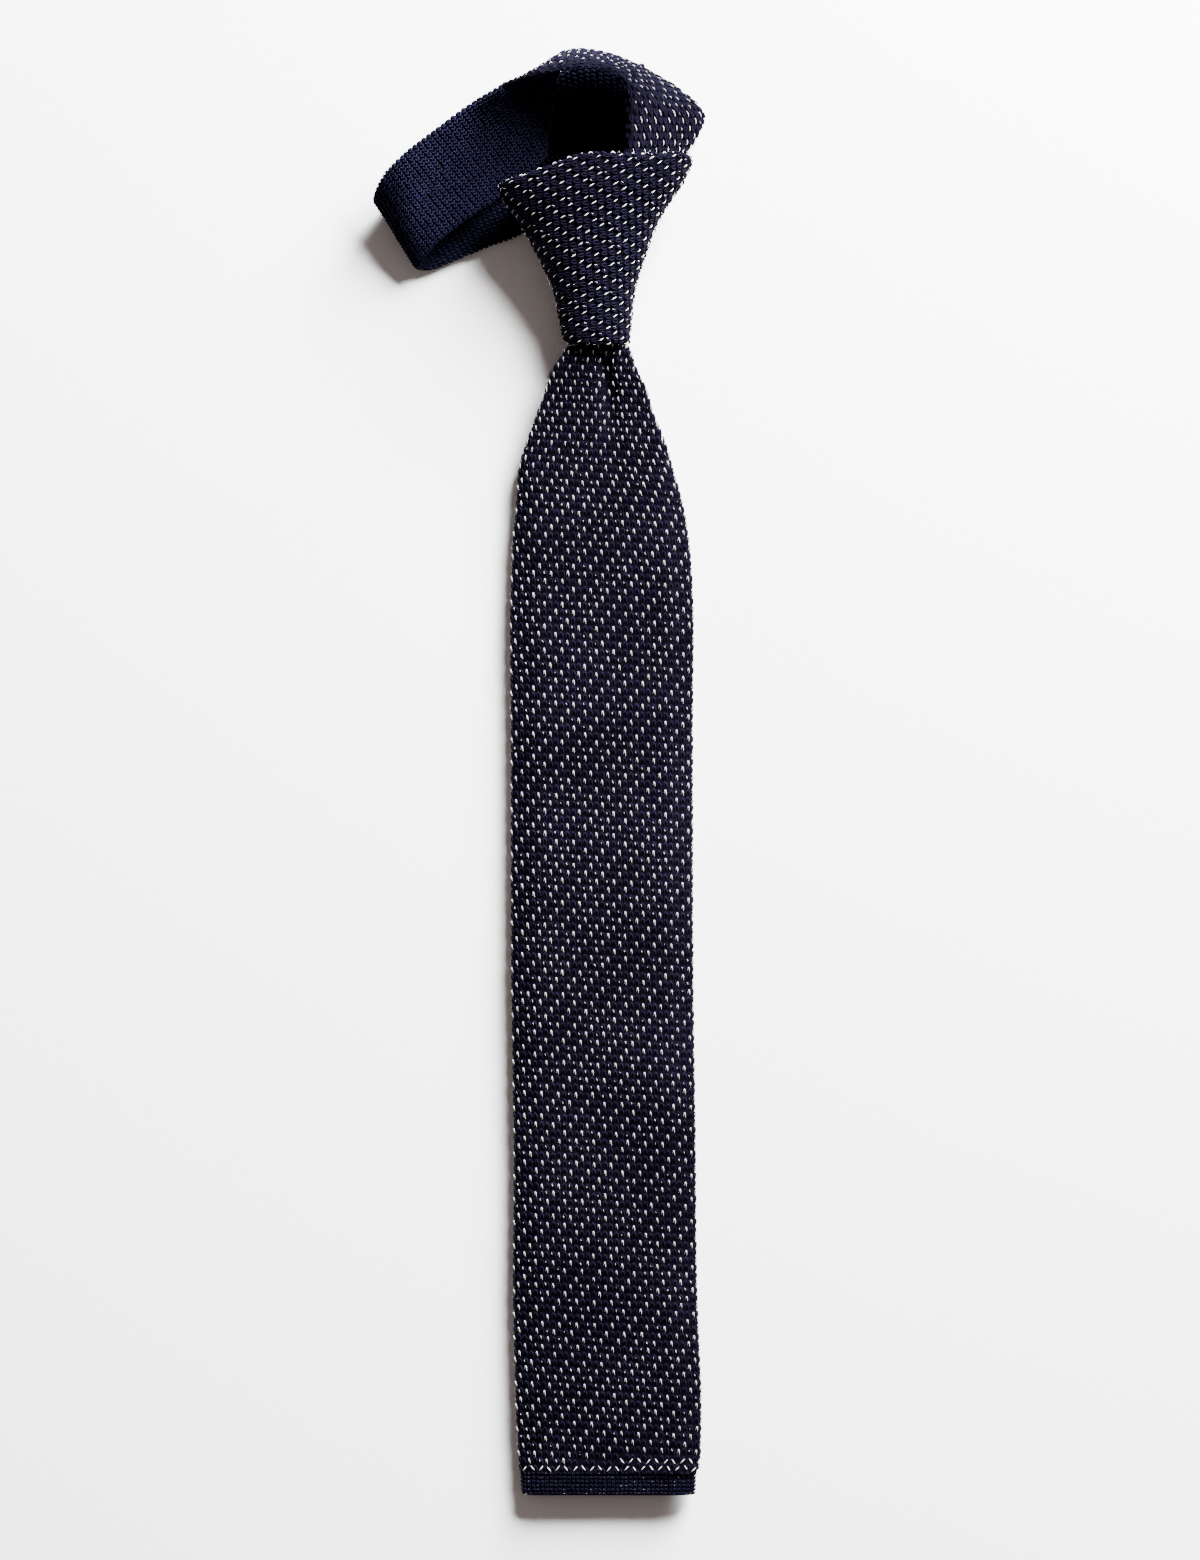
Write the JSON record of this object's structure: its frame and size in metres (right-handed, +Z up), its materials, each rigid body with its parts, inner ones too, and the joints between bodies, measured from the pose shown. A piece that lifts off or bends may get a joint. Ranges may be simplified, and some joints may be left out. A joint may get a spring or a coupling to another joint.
{
  "type": "knit necktie",
  "caption": "Navy birdseye knit necktie with white flecks and a square tip, tied in a four-in-hand knot and laid flat.",
  "frame": {"origin": "middle of the footprint, on the surface that the tie lies on", "axes": "+Y from the square tip towards the neck loop, +X to the viewer's right, +Z up from the surface, towards the front of the tie"},
  "size_m": [0.1074, 0.4684, 0.0339],
  "materials": {
    "birdseye_knit": "matte navy knit with regular white flecks",
    "plain_knit": "matte plain navy knit with fine courses",
    "ribbed_hem": "matte dark navy ribbed knit"
  },
  "bodies": {
    "root": {"front_blade": "birdseye_knit", "front_hem": "ribbed_hem", "knot_wrap": "birdseye_knit", "knot_core": "birdseye_knit", "neck_band": "plain_knit", "rear_blade": "birdseye_knit", "rear_hem": "ribbed_hem"}
  },
  "joints": []
}
